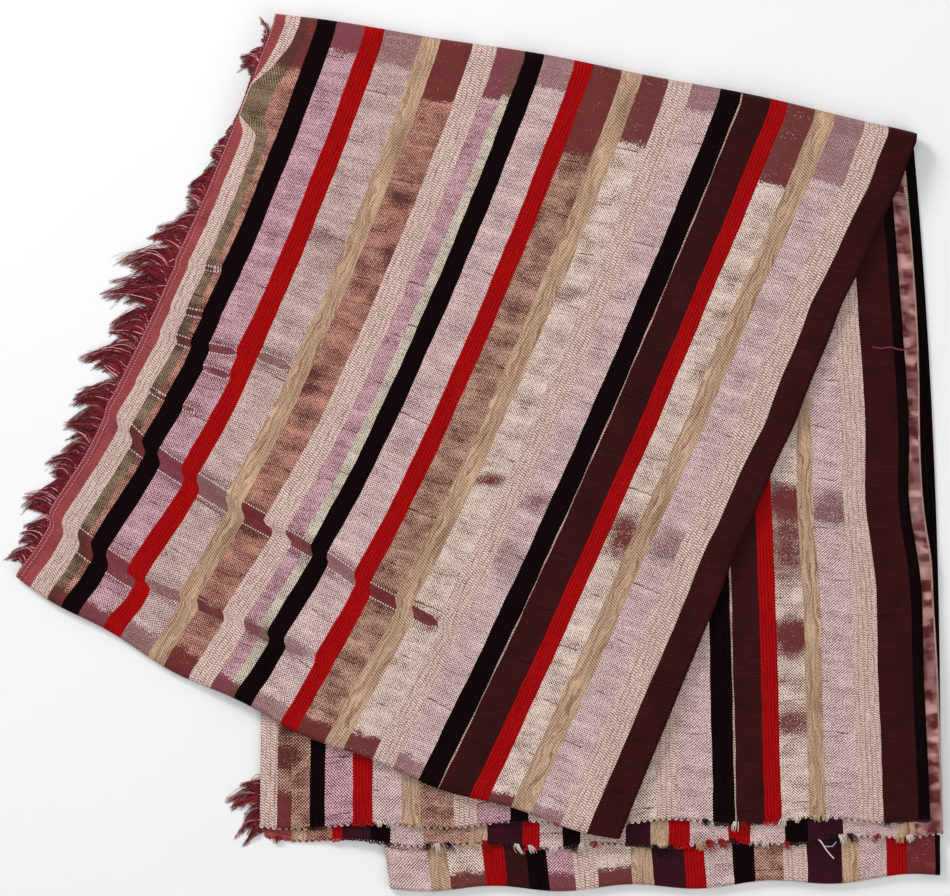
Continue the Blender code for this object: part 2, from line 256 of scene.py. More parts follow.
LOWER_STRIPES = [Stripe(*row) for row in (
    ("lavender", 35.0, 35.0), ("beige", 17.0, 17.0), ("white", 29.5, 29.5, 0, 12), ("red", 18.0, 18.0),
    ("maroon", 19.0, 19.0), ("black", 17.0, 17.0), ("lilac", 22.0, 22.0, 0, 14), ("cream", 19.5, 19.5),
    ("white", 29.0, 29.0, 0, 14), ("beige", 18.0, 18.0), ("purple", 27.5, 27.5), ("red", 17.0, 17.0),
    ("lavender", 23.5, 23.5), ("black", 18.0, 18.0), ("rust", 24.0, 24.0), ("cream", 20.5, 20.5),
    ("purple", 29.5, 29.5), ("beige", 15.0, 15.0), ("lavender", 22.5, 22.5), ("red", 17.5, 17.5),
    ("blotchy", 18.0, 24.0, 0, 30), ("black", 12.0, 4.0),
)]
STRIPES = {
    "flap": FLAP_STRIPES,
    "under_flap": FLAP_STRIPES,
    "bottom": BOTTOM_STRIPES,
    "upper": UPPER_STRIPES,
    "lower": LOWER_STRIPES,
    "middle": MIDDLE_STRIPES,
}
# How much closer the weave of the flap is than that of the other layers, as the photograph shows them
TIGHT = 1.16
# How far the stripes of the flap bow to the right between its top and foot, as a share of its width
FLAP_STRIPE_BOW = 0.014

# Dark patches in a layer: place, half sizes and strength
PATCHES = {
    "flap": (
        (-15, 350, 12, 14, 0.9), (-2, 308, 11, 12, 0.9), (-20, 250, 14, 14, 0.5), (90, 200, 12, 12, 0.6),
        (100, 240, 14, 10, 0.5), (80, 128, 12, 5, 0.7), (30, -95, 16, 18, 0.5), (-200, -60, 14, 16, 0.5),
        (-110, 160, 14, 16, 0.4), (-250, 100, 12, 9, 0.5), (-138, 62, 13, 6, 0.95), (-142, 48, 12, 5, 0.8),
        (-134, 90, 10, 5, 0.5), (-128, 175, 12, 9, 0.75), (-60, 205, 9, 9, 0.8), (-68, 160, 9, 12, 0.6),
        (-80, 125, 8, 10, 0.5), (65, 250, 12, 10, 0.6), (48, 190, 12, 10, 0.6), (-10, 100, 12, 10, 0.4),
        (-60, 0, 12, 10, 0.4), (195, 60, 12, 8, 0.4), (235, 120, 10, 6, 0.5), (210, 105, 10, 10, 0.3),
        (60, -50, 14, 12, 0.35), (-60, 40, 14, 12, 0.35), (164, -83, 17, 15, 0.8), (127, -75, 14, 20, 1.0),
        (12, -28, 15, 5, 1.0), (52, -47, 17, 6, 0.75),
    ),
    "upper": (
        (264, -46, 20, 14, 1.35), (265, -84, 18, 34, 0.85), (269, -160, 20, 17, 1.2), (270, -232, 18, 12, 0.9),
        (270, -198, 14, 5, 0.6), (302, -50, 22, 14, 0.9), (-160, -262, 14, 12, 0.9), (-150, -235, 14, 8, 0.9),
    ),
}


def smooth_step(value):
    """0 below 0, 1 above 1, and a soft S between."""
    value = np.clip(value, 0.0, 1.0)
    return value * value * (3.0 - 2.0 * value)


def outward(line):
    """The unit direction, seen from above, that leads out of the cloth at this line."""
    along = np.array([line.right_x - line.left_x, line.right_y - line.left_y])
    along /= np.linalg.norm(along)
    left_hand = np.array([-along[1], along[0]])
    return left_hand if line is LINES["top"] else -left_hand


def on_line(line, across, inset=0.0, right_inset=0.0):
    """The points on a line at these shares of its length, moved into the cloth by inset."""
    across = np.asarray(across, float)[..., None]
    left = np.array([line.left_x, line.left_y])
    right = np.array([line.right_x, line.right_y])
    shift = line.bow * 4 * across * (1 - across) + line.wave * np.sin(2 * math.pi * line.waves * across)
    along = (right - left) / np.linalg.norm(right - left)
    return left + (right - left) * across + outward(line) * (shift - inset) - along * right_inset * across


def puff_at_fold(pair):
    return sum(puff.height for puff in PUFFS if puff.layer in pair and LAYER[puff.layer].foot == puff.line)


def fold_radius(layer, foot):
    """Half the height between a layer and the one that its fold leads to, before any puff."""
    for i, run in enumerate(PATH[:-1]):
        pair = {run.layer, PATH[i + 1].layer}
        if layer.name in pair and run.up != foot:
            low, high = sorted(LAYER[name].level for name in pair)
            return (high - low) * LAYER_PITCH / 2 + puff_at_fold(pair) / 2
    return 0.0


def in_plan(layer, down, across):
    """Where points of a layer lie, seen from above. down: 0 at its top line and 1 at its foot."""
    down = np.asarray(down, float)
    across = np.asarray(across, float)
    top = on_line(LINES["top"], across, layer.top_inset + fold_radius(layer, False), layer.right_inset)
    foot = on_line(LINES[layer.foot], across, fold_radius(layer, True))
    bow = 4 * down * (1 - down) * (layer.right_bow * across - layer.left_bow * (1 - across))
    side = (foot - top) / np.linalg.norm(foot - top, axis=-1, keepdims=True)
    turned = np.stack([-side[..., 1], side[..., 0]], axis=-1)
    return top + (foot - top) * down[..., None] + turned * bow[..., None]


def outline(layer, steps=8):
    """The layer's edge as a closed ring of points."""
    shares = np.linspace(0, 1, steps)
    ones = np.ones(steps)
    ring = [in_plan(layer, ones * 0, shares)]
    ring.append(in_plan(layer, shares[1:], ones[1:]))
    ring.append(in_plan(layer, ones[1:], shares[::-1][1:]))
    ring.append(in_plan(layer, shares[::-1][1:-1], ones[1:-1] * 0))
    return np.concatenate(ring)


RINGS = {layer.name: outline(layer) for layer in LAYERS}


def to_segments(points, starts, ends):
    """The distance from each point to the nearest of some segments."""
    best = np.full(len(points), 1e9)
    for start, end in zip(starts, ends):
        span = end - start
        share = np.clip(((points - start) @ span) / (span @ span), 0, 1)
        best = np.minimum(best, np.linalg.norm(points - start - share[:, None] * span, axis=1))
    return best


def outside(ring, points):
    """How far each point lies outside a ring, and 0 inside it."""
    inside = np.zeros(len(points), bool)
    for start, end in zip(ring, np.roll(ring, -1, axis=0)):
        crosses = (start[1] > points[:, 1]) != (end[1] > points[:, 1])
        rise = end[1] - start[1] if end[1] != start[1] else 1.0
        where = start[0] + (points[:, 1] - start[1]) * (end[0] - start[0]) / rise
        inside ^= crosses & (where > points[:, 0])
    return np.where(inside, 0.0, to_segments(points, ring, np.roll(ring, -1, axis=0)))


def swell(layer, points):
    """The height that a layer's own creases and puffs add at each point."""
    height = np.zeros(len(points))
    for crease in CREASES.get(layer.name, ()):
        start = np.array([[crease.x1, crease.y1]], float)
        end = np.array([[crease.x2, crease.y2]], float)
        height += crease.height * np.exp(-((to_segments(points, start, end) / crease.width) ** 2))
    for puff in PUFFS:
        if puff.layer == layer.name:
            steps = on_line(LINES[puff.line], np.linspace(0, 1, 12))
            away = to_segments(points, steps[:-1], steps[1:])
            height += puff.height * np.exp(-((away / puff.reach) ** 2))
    return height


def height_of(layer, points):
    """The height of a layer's middle: it lies on every layer below it, and drapes off their edges."""
    height = CLOTH_THICKNESS / 2 + swell(layer, points)
    for below in LAYERS[: layer.level]:
        away = outside(RINGS[below.name], points)
        cover = 1 - smooth_step((away - EDGE_CLEARANCE) / DRAPE_WIDTH)
        height += (LAYER_PITCH + swell(below, points)) * cover
    return height


def from_tuck(points, tuck):
    """Signed distance to a tuck's line, positive toward the foot, and how far past its ends a point lies."""
    corners = np.array(tuck.points, float)
    best = np.full(len(points), 1e9)
    signed = np.zeros(len(points))
    past = np.zeros(len(points))
    for i, (start, end) in enumerate(zip(corners[:-1], corners[1:])):
        length = np.linalg.norm(end - start)
        span = (end - start) / length
        rel = points - start
        along = rel @ span
        away = rel - np.clip(along, 0, length)[:, None] * span
        distance = np.linalg.norm(away, axis=1)
        beyond = np.zeros(len(points))
        if i == 0:
            beyond = np.maximum(beyond, -along)
        if i == len(corners) - 2:
            beyond = np.maximum(beyond, along - length)
        nearer = distance < best
        best = np.where(nearer, distance, best)
        signed = np.where(nearer, rel @ np.array([span[1], -span[0]]), signed)
        past = np.where(nearer, beyond, past)
    return signed, past


def slide_and_dent(layer, points):
    """Small sideways steps and dents where the cloth is tucked."""
    moved = points.copy()
    dent = np.zeros(len(points))
    for tuck in TUCKS.get(layer.name, ()):
        signed, past = from_tuck(points, tuck)
        fade = np.exp(-((past / TUCK_END) ** 2))
        step = smooth_step(signed / (2 * tuck.half) + 0.5) - 0.5
        moved[:, 0] += tuck.slide * 2 * step * np.exp(-((signed / TUCK_REACH) ** 2)) * fade
        inner = np.exp(-((signed / (tuck.half * 0.8)) ** 2))
        dent -= tuck.depth * inner * fade
    for push in PUSHES.get(layer.name, ()):
        away = ((points[:, 0] - push.x) / push.reach_x) ** 2 + ((points[:, 1] - push.y) / push.reach_y) ** 2
        moved[:, 0] += push.shift * np.exp(-away)
    return moved, dent


def ripple(points, layer):
    """Slight unevenness of a layer."""
    x, y = points[:, 0], points[:, 1]
    phase = 1.7 * layer.level
    total = np.sin(x / 23.0 + y / 31.0 + phase) * np.sin(y / 27.0 - x / 41.0 + 2 * phase)
    total += 0.6 * np.sin(x / 9.5 - y / 12.0 + phase) * np.sin(y / 14.0 + x / 17.0)
    return RIPPLE * total


def on_layer(layer, down, across):
    points = in_plan(layer, down, across)
    moved, dent = slide_and_dent(layer, points)
    height = height_of(layer, points)
    quiet = smooth_step(np.minimum(down, 1 - down) / CALM_END)
    if layer.level:
        height = height + (dent + ripple(points, layer)) * quiet
    blend = quiet[:, None]
    points = points * (1 - blend) + moved * blend
    return np.column_stack([points, height])


def round_fold(before, after, foot, turn, across):
    """Points on the half circle between two layers. turn: 0 where it leaves the first, 1 at the next."""
    down = np.full(len(across), 1.0 if foot else 0.0)
    start = on_layer(before, down, across)
    end = on_layer(after, down, across)
    out = outward(LINES[before.foot] if foot else LINES["top"])
    middle = (start + end) / 2
    reach = np.abs(start[:, 2] - end[:, 2]) / 2
    angle = math.pi * turn
    points = middle + (start - middle) * math.cos(angle)
    points[:, :2] += out * reach[:, None] * math.sin(angle)
    return points


def stripe_columns(stripes):
    """The number of columns that each stripe takes: at least one, and as even in width as can be."""
    widths = np.array([max(s.top, s.foot) for s in stripes])
    counts = np.maximum(1, np.floor(widths / widths.sum() * COLUMNS)).astype(int)
    while counts.sum() < COLUMNS:
        counts[np.argmax(widths / counts)] += 1
    while counts.sum() > COLUMNS:
        spare = np.where(counts > 1, widths / counts, 1e9)
        counts[np.argmin(spare)] -= 1
    return counts


def layout(stripes, foot):
    """The share across the cloth of every column line."""
    counts = stripe_columns(stripes)
    widths = np.array([s.foot if foot else s.top for s in stripes], float)
    ends = np.concatenate([[0], np.cumsum(widths)]) / widths.sum()
    lines = [0.0]
    for i, count in enumerate(counts):
        lines += list(ends[i] + (ends[i + 1] - ends[i]) * np.arange(1, count + 1) / count)
    return np.array(lines)


LAYOUTS = {name: (layout(stripes, False), layout(stripes, True)) for name, stripes in STRIPES.items()}


# Near its top the flap's left edge is turned under: its first stripes narrow there and the next ones widen.
# Each pair is a place between its top and foot and the share of their width that the first stripes keep.
TURNED_UNDER = ((0.0, 1.0), (0.03, 0.95), (0.07, 0.6), (0.105, 0.06), (0.16, 0.06), (0.185, 0.9), (0.21, 1.0))
TURNED_STRIPES = 3
WIDENED_STRIPES = 5
# The part of the middle layer, from its top, in which the stripes of the layer before it change to its own
MIDDLE_CHANGE = 1 / 8
# How far the edges of the stripes wander, as a share of the width of the cloth
STRIPE_SWAY = 0.0005


def turn_under(shares, down):
    places, factors = zip(*TURNED_UNDER)
    factor = float(np.interp(down, places, factors))
    counts = stripe_columns(FLAP_STRIPES)
    first = int(counts[:TURNED_STRIPES].sum())
    last = int(counts[:WIDENED_STRIPES].sum())
    moved = shares.copy()
    moved[: first + 1] = shares[: first + 1] * factor
    start, end = moved[first], shares[last]
    place = (shares[first : last + 1] - shares[first]) / (shares[last] - shares[first])
    moved[first : last + 1] = start + (end - start) * place
    return moved


def column_shares(name, down):
    """The column lines of a layer at this place. The hidden layers lead from one layout to the next."""
    if name == "under_flap":
        return LAYOUTS["upper"][0] * (1 - down) + LAYOUTS["flap"][1] * down
    if name == "bottom":
        return LAYOUTS["flap"][0] * (1 - down) + LAYOUTS["lower"][1] * down
    top, foot = LAYOUTS[name]
    if name == "middle":
        changed = smooth_step(down / MIDDLE_CHANGE)
        top = LAYOUTS["lower"][0] * (1 - changed) + top * changed
    shares = top * (1 - down) + foot * down
    if name == "flap":
        shares = turn_under(shares, down)
        shares = shares + FLAP_STRIPE_BOW * 4 * down * (1 - down) * np.sin(math.pi * shares)
    return shares


def uneven(row, shares):
    """Small sideways wander of the stripes' edges from row to row, in shares of the width."""
    column = np.arange(len(shares))
    sway = np.sin(0.31 * row + 2.1 * column) + 0.6 * np.sin(0.97 * row + 1.3 * column + 1.0)
    return STRIPE_SWAY * sway * np.sin(math.pi * shares) ** 0.2


def stations():
    """The rows of the sheet in order: (layer, next layer or None, place between top and foot, turn)."""
    rows = []
    for i, run in enumerate(PATH):
        layer = LAYER[run.layer]
        steps = 1 - (1 - np.linspace(0, 1, layer.rows + 1)) ** layer.crowd
        for down in steps[::-1] if run.up else steps:
            rows.append((layer, None, float(down), 0.0))
        if run.fold_rows:
            after = LAYER[PATH[i + 1].layer]
            for step in range(1, run.fold_rows):
                rows.append((layer, after, 0.0 if run.up else 1.0, step / run.fold_rows))
    return rows


def srgb(color):
    """Linear colour from the 0 to 255 values that a screen shows."""
    values = np.array(color, float) / 255
    return tuple(np.where(values <= 0.04045, values / 12.92, ((values + 0.055) / 1.055) ** 2.4)) + (1.0,)


class Nodes:
    """Short ways to add shader nodes to a material."""

    def __init__(self, name):
        self.material = bpy.data.materials.new(name)
        self.material.use_nodes = True
        self.tree = self.material.node_tree
        self.shader = self.tree.nodes["Principled BSDF"]

    def link(self, value, socket):
        if isinstance(value, bpy.types.NodeSocket):
            self.tree.links.new(value, socket)
        else:
            socket.default_value = value

    def node(self, kind, *values, **settings):
        """A new node with these settings, and these values in its first inputs."""
        node = self.tree.nodes.new("ShaderNode" + kind)
        for key, value in settings.items():
            setattr(node, key, value)
        for value, socket in zip(values, node.inputs):
            self.link(value, socket)
        return node

    def math(self, operation, *values):
        return self.node("Math", *values, operation=operation).outputs[0]

    def add(self, *values):
        total = values[0]
        for value in values[1:]:
            total = self.math("ADD", total, value)
        return total

    def sub(self, a, b):
        return self.math("SUBTRACT", a, b)

    def mul(self, a, b):
        return self.math("MULTIPLY", a, b)

    def vary(self, value, amount):
        """A value from 0 to 1 turned into a swing of this size about 0."""
        return self.mul(self.sub(value, 0.5), amount)

    def smooth(self, value, low, high, to_low=0.0, to_high=1.0):
        values = (value, low, high, to_low, to_high)
        return self.node("MapRange", *values, interpolation_type="SMOOTHSTEP").outputs[0]

    def wave(self, value, pitch, phase=0.0):
        """A sine of a length, from -1 to 1."""
        return self.math("SINE", self.math("MULTIPLY_ADD", value, 2 * math.pi / pitch, phase))

    def ridges(self, value, pitch):
        """Rounded ridges side by side, from 0 to 1."""
        return self.math("ABSOLUTE", self.wave(value, 2 * pitch))

    def point(self, x, y):
        return self.node("CombineXYZ", x, y).outputs[0]

    def noise(self, vector, scale=1.0, detail=2.0, rough=0.5):
        node = self.node("TexNoise", vector)
        node.inputs["Scale"].default_value = scale
        node.inputs["Detail"].default_value = detail
        node.inputs["Roughness"].default_value = rough
        return node.outputs[0]

    def attribute(self, name, output="Fac"):
        return self.node("Attribute", attribute_name=name).outputs[output]

    def object_point(self):
        return self.node("TexCoord").outputs["Object"]

    def mix(self, share, a, b):
        node = self.node("Mix", data_type="RGBA")
        for value, socket in zip((share, a, b), (node.inputs[0], node.inputs[6], node.inputs[7])):
            self.link(value, socket)
        return node.outputs[2]

    def scale_color(self, color, factor):
        """The colour made lighter or darker by a factor that varies."""
        node = self.node("VectorMath", color, operation="SCALE")
        self.link(factor, node.inputs["Scale"])
        return node.outputs[0]

    def finish(self, color, height, distance, strength, roughness, specular):
        self.link(color, self.shader.inputs["Base Color"])
        bump = self.node("Bump")
        bump.inputs["Distance"].default_value = distance * MM
        bump.inputs["Strength"].default_value = strength
        self.link(height, bump.inputs["Height"])
        self.link(bump.outputs[0], self.shader.inputs["Normal"])
        self.shader.inputs["Roughness"].default_value = roughness
        self.shader.inputs["Specular IOR Level"].default_value = specular
        return self.material


class Weave(Nodes):
    """The nodes of a woven stripe. s, t: millimetres across the stripe and along it."""

    def __init__(self, name):
        super().__init__(name)
        cloth = self.node("UVMap", uv_map="cloth")
        parts = self.node("SeparateXYZ", cloth.outputs[0])
        self.s, self.t = (self.mul(part, 1000.0) for part in parts.outputs[:2])

    def streaks(self, across, along, detail=2.0, rough=0.5):
        """Noise that changes this fast, for each millimetre, across the stripe and along it."""
        return self.noise(self.point(self.mul(self.s, across), self.mul(self.t, along)), 1.0, detail, rough)

    def fine(self):
        return self.streaks(0.62, 0.62, 2.0, 0.7)

    def along(self):
        return self.streaks(1.3, 0.06, 3.0)

    def across(self):
        return self.streaks(0.05, 1.2, 3.0)

    def broad(self):
        return self.streaks(0.03, 0.03)

    def woven(self, kind, lit, tone, height, distance, strength, roughness, specular):
        """The finished weave. lit: from the deep yarn at 0 to the light one at 1; tone: lighter or darker."""
        color = self.mix(lit, srgb(kind.deep), srgb(kind.light))
        return self.finish(self.scale_color(color, tone), height, distance, strength, roughness, specular)


# Sizes of the weave, in millimetres
RIB_PITCH = 2.7
CORD_PITCH = 3.1
CELL = 2.5
RUNG_PITCH = 2.2
LADDER_COLUMN = 4.2
TICK_PITCH = 2.1
FINE_LINE_PITCH = 1.5
PULLED_PITCH = 46.0
DOT_PITCH = 2.4
SEAM_PITCH = 3.6
DASH_PITCH = 3.0
SPECK = (150, 90, 84)


def ribbed(name, kind):
    """Thick weft packed in ribs that run along the stripe."""
    n = Weave(name)
    fine, along, broad = n.fine(), n.along(), n.broad()
    rib = n.ridges(n.add(n.s, n.vary(along, 2.0)), RIB_PITCH)
    # Painted shade and highlight: the rib crests are painted lighter and the grooves darker, with light flecks
    # as glints
    painted_glint = n.smooth(n.streaks(1.4, 0.25), 0.45, 0.75)
    lit = n.add(n.mul(n.smooth(rib, 0.0, 0.8), 0.55), n.vary(fine, 1.6), n.mul(n.sub(along, 0.4), 0.9))
    tone = n.add(0.9, n.mul(painted_glint, 0.3), n.vary(broad, 0.35))
    return n.woven(kind, lit, tone, n.add(rib, n.mul(fine, 0.9)), 0.5, 0.6, 0.9, 0.05)


def corded(name, kind):
    """Beige weft: soft strands that wander along the stripe, crossed by fine slanted ticks."""
    n = Weave(name)
    fine, broad = n.fine(), n.broad()
    bent = n.add(n.s, n.vary(n.streaks(0.1, 0.03), 16.0))
    cord = n.ridges(bent, CORD_PITCH)
    tick = n.wave(n.add(n.t, n.add(n.mul(n.s, 0.55), n.vary(fine, 1.0))), TICK_PITCH)
    strand = n.noise(n.point(n.mul(bent, 0.5), n.mul(n.t, 0.018)), 1.0, 3.0, 0.6)
    # Painted shade: the cords are painted lighter on their ridges and darker in the lines between them
    value = n.add(n.mul(cord, 0.25), n.mul(tick, 0.42), n.vary(fine, 1.5), n.vary(strand, 3.0))
    tone = n.add(1.0, n.vary(broad, 0.4))
    return n.woven(kind, n.smooth(value, -0.7, 1.0), tone, value, 0.5, 0.6, 0.8, 0.15)


def ladder(name, kind):
    """Thick cream weft, whose short rungs stand in offset columns."""
    n = Weave(name)
    fine, along, broad = n.fine(), n.along(), n.broad()
    moved = n.add(n.s, n.vary(n.streaks(0.2, 0.05), 5.0))
    column = n.math("FLOOR", n.math("DIVIDE", moved, LADDER_COLUMN))
    between = n.smooth(n.ridges(moved, LADDER_COLUMN), 0.0, 0.5)
    slant = n.add(n.t, n.mul(n.s, 0.3))
    rung = n.wave(n.add(slant, n.vary(fine, 2.6)), RUNG_PITCH, n.mul(column, 2.3))
    value = n.add(n.mul(rung, 0.6), n.vary(fine, 1.8), n.mul(n.sub(between, 0.8), 0.5), n.vary(along, 1.4))
    tone = n.add(1.0, n.vary(broad, 0.2))
    return n.woven(kind, n.smooth(value, -0.8, 0.65), tone, value, 0.5, 0.7, 0.75, 0.15)


def pulled_threads(n, broad):
    """Thin dark lines across the stripe, where a thread was pulled: a few, and never quite straight."""
    rows = n.add(n.math("DIVIDE", n.t, PULLED_PITCH), n.mul(broad, 0.2))
    away = n.mul(n.math("ABSOLUTE", n.sub(n.math("FRACT", rows), 0.5)), PULLED_PITCH)
    here = n.noise(n.point(n.mul(n.s, 0.06), n.mul(n.math("FLOOR", rows), 5.3)), 1.0, 1.0)
    return n.mul(n.smooth(away, 0.25, 0.75, 1.0, 0.0), n.smooth(here, 0.48, 0.56))


def painted_fold_shade(n, fine, cloud):
    """Where the stripe turns dark: painted shade along folds and tucks, and the strong dark patches, with a
    ragged woven edge.
    """
    ragged = n.add(n.vary(fine, 1.0), n.vary(cloud, 0.8))
    head = n.smooth(n.add(n.attribute("head"), n.mul(ragged, 14.0)), -2.0, 2.0)
    tuck = n.smooth(n.add(n.attribute("tuck"), n.mul(ragged, 9.0)), -1.0, 1.0)
    tuck = n.mul(tuck, n.attribute("tuck_dark"))
    patch = n.smooth(n.add(n.attribute("patch"), n.mul(ragged, 1.3)), 0.75, 1.1)
    return n.math("MAXIMUM", n.math("MAXIMUM", head, tuck), patch)


def speckled(name, kind):
    """Plain weave of two colours: small cells of light and deep yarn in rows across the stripe."""
    n = Weave(name)
    fine, along, across, broad = n.fine(), n.along(), n.across(), n.broad()
    cloud = n.streaks(0.05, 0.07, 3.0, 0.6)
    band = n.streaks(0.012, 0.16)
    tight = n.attribute("tight")
    s = n.mul(n.add(n.s, n.vary(along, 0.8)), tight)
    t = n.mul(n.add(n.t, n.vary(across, 1.0)), tight)
    cells = n.mul(n.wave(s, CELL), n.wave(t, CELL))
    value = n.add(0.5, n.mul(cells, 0.5), n.vary(fine, 1.3))
    # Painted shade along the folds and tucks, and a softer painted shade just outside each tuck
    shade_zone = painted_fold_shade(n, fine, cloud)
    near_tuck_shade = n.mul(n.smooth(n.attribute("tuck"), -9.0, 0.0), n.attribute("tuck_dark"))

    # How much of the deep yarn shows, with more of it as painted shade along the folds and tucks
    share = n.add(
        kind.share,
        n.vary(cloud, 0.35 + 1.6 * kind.cloud),
        n.vary(across, 0.4),
        n.vary(band, 0.35),
        n.mul(pulled_threads(n, broad), 0.4),
        n.add(n.mul(shade_zone, 0.3), n.mul(near_tuck_shade, 0.22)),
        n.mul(n.attribute("patch"), 0.55 * (0.4 + 0.6 * kind.solid)),
    )
    deep = n.smooth(n.sub(n.add(value, share), 1.0), -0.14, 0.14)
    color = n.mix(deep, srgb(kind.light), srgb(kind.deep))

    # The painted shade along folds and tucks, with light spots in it
    spots = n.mul(n.smooth(fine, 0.58, 0.68), n.smooth(cloud, 0.45, 0.65))
    shade_zone_tone = n.add(0.82, n.mul(n.add(across, cloud), 0.3))
    shade_zone_color = n.mix(n.mul(spots, 0.5), n.scale_color(srgb(kind.dark)[:3], shade_zone_tone), srgb(kind.light))
    color = n.mix(n.mul(shade_zone, kind.solid), color, shade_zone_color)

    # Painted highlight: light dots along both edges of the darkest tucks
    edge = n.math("ABSOLUTE", n.attribute("tuck"))
    tuck_highlight_dots = n.mul(n.smooth(edge, 0.3, 0.8, 1.0, 0.0), n.smooth(n.wave(n.s, DOT_PITCH), -0.2, 0.4))
    tuck_highlight_dots = n.mul(tuck_highlight_dots, n.smooth(n.attribute("tuck_dark"), 0.55, 0.75))
    color = n.mix(n.mul(tuck_highlight_dots, 0.75), color, srgb(TUCK_HIGHLIGHT_DOTS))
    tone = n.add(1.0, n.vary(along, 0.3), n.vary(broad, 0.25))
    return n.finish(n.scale_color(color, tone), value, 0.3, 0.45, 0.58, 0.2)


def dense(name, kind):
    """Close weave of one colour, with fine lines across the stripe and a few light specks."""
    n = Weave(name)
    fine, across, broad = n.fine(), n.across(), n.broad()
    line = n.wave(n.add(n.t, n.vary(fine, 1.2)), FINE_LINE_PITCH)
    value = n.add(n.mul(line, 0.3), n.add(n.vary(fine, 1.3), n.vary(across, 1.3)))
    value = n.sub(value, n.mul(pulled_threads(n, broad), 0.6))
    color = n.mix(n.smooth(value, -0.6, 0.8), srgb(kind.deep), srgb(kind.light))
    speck = n.smooth(n.streaks(0.5, 0.8, 1.0), 0.74, 0.82)
    color = n.mix(n.mul(speck, 0.35), color, srgb(SPECK))
    return n.finish(n.scale_color(color, n.add(1.0, n.vary(broad, 0.9))), value, 0.4, 0.6, 0.6, 0.08)


def stitched(name, kind):
    """The end band with dotted rows of stitches along it."""
    n = Weave(name)
    fine, across = n.fine(), n.across()
    swayed = n.add(n.s, n.vary(n.noise(n.point(0.0, n.mul(n.t, 0.05)), 1.0, 2.0), 2.0))
    rows = n.smooth(n.wave(swayed, SEAM_PITCH), 0.72, 0.95)
    dashes = n.smooth(n.wave(n.add(n.t, n.mul(fine, 2.0)), DASH_PITCH), -0.5, 0.1)
    lit = n.mul(n.mul(rows, dashes), 0.8)
    ground = n.smooth(n.add(fine, n.vary(across, 0.8)), 0.2, 0.8, 0.7, 1.2)
    color = n.mix(lit, n.scale_color(srgb(kind.deep)[:3], ground), srgb(kind.light))
    return n.finish(color, n.add(lit, fine), 0.5, 0.6, 0.7, 0.1)


WEAVES = {weave.__name__: weave for weave in (ribbed, corded, ladder, speckled, dense, stitched)}

# Stands for no tuck and no painted fold shade near: far outside every one of them
FAR_TUCK = -30.0
FAR = -60.0
RIM_VALUES = {"head": FAR, "tuck": FAR}
# Moves the weave of each stripe along it, so that no two show the same one
STRIPE_SHIFT = 37.0
SHIFT_REPEAT = 400


def make_mesh(name, verts, faces, materials):
    """A smooth mesh of faces with four corners. verts: in millimetres."""
    mesh = bpy.data.meshes.new(name)
    mesh.vertices.add(len(verts))
    mesh.vertices.foreach_set("co", (verts * MM).ravel())
    mesh.loops.add(len(faces) * 4)
    mesh.loops.foreach_set("vertex_index", faces.ravel())
    mesh.polygons.add(len(faces))
    mesh.polygons.foreach_set("loop_start", np.arange(len(faces)) * 4)
    mesh.update(calc_edges=True)
    mesh.polygons.foreach_set("use_smooth", np.ones(len(faces), bool))
    for material in materials:
        mesh.materials.append(material)
    return mesh


def add_object(name, data):
    item = bpy.data.objects.new(name, data)
    bpy.context.scene.collection.objects.link(item)
    return item


def sheet_points(rows):
    """The middle of the sheet: a row of points for each station."""
    points = np.zeros((len(rows), COLUMNS + 1, 3))
    for i, (layer, after, down, turn) in enumerate(rows):
        shares = column_shares(layer.name, down)
        if after:
            shares = shares * (1 - turn) + column_shares(after.name, down) * turn
        shares = shares + uneven(i, np.clip(shares, 0.0, 1.0))
        if after:
            points[i] = round_fold(layer, after, down > 0.5, turn, shares)
        else:
            points[i] = on_layer(layer, np.full(COLUMNS + 1, down), shares)
    return points


def corners(grid):
    """The values of a grid at the four corners of each of its faces."""
    return np.stack([grid[:-1, :-1], grid[:-1, 1:], grid[1:, 1:], grid[1:, :-1]], axis=2)


def corners_of_rows(values):
    """The same, where each column of faces has one value on each row of points."""
    return np.stack([values[:-1], values[:-1], values[1:], values[1:]], axis=2)


def thick_sheet(points):
    """The vertices and faces of the closed sheet: its upper side, its lower side and its rim."""
    normals = np.cross(np.gradient(points, axis=1), np.gradient(points, axis=0))
    normals /= np.linalg.norm(normals, axis=2, keepdims=True)
    half = CLOTH_THICKNESS / 2
    sides = (points + normals * half, points - normals * half)
    verts = np.concatenate([side.reshape(-1, 3) for side in sides])
    verts[:, 2] = np.maximum(verts[:, 2], 0.0)
    far = points.shape[0] * points.shape[1]
    index = np.arange(far).reshape(points.shape[:2])
    front = corners(index).reshape(-1, 4)
    back = front[:, [0, 3, 2, 1]] + far
    rim = []
    for line in (index[0, ::-1], index[-1, :], index[:, 0], index[::-1, -1]):
        start, end = line[:-1], line[1:]
        rim.append(np.stack([start, end, end + far, start + far], axis=-1))
    return verts, np.concatenate([front, back, *rim])


def tucks_at(name, points):
    """How deep each point of a layer lies in the nearest tuck, and how dark that tuck's painted shade is."""
    depth = np.full(len(points), FAR_TUCK)
    dark = np.zeros(len(points))
    for tuck in TUCKS.get(name, ()):
        signed, past = from_tuck(points, tuck)
        inner = tuck.half - np.abs(signed) - past * 0.5
        nearer = inner > depth
        depth = np.where(nearer, inner, depth)
        dark = np.where(nearer, tuck.dark, dark)
    return depth, dark


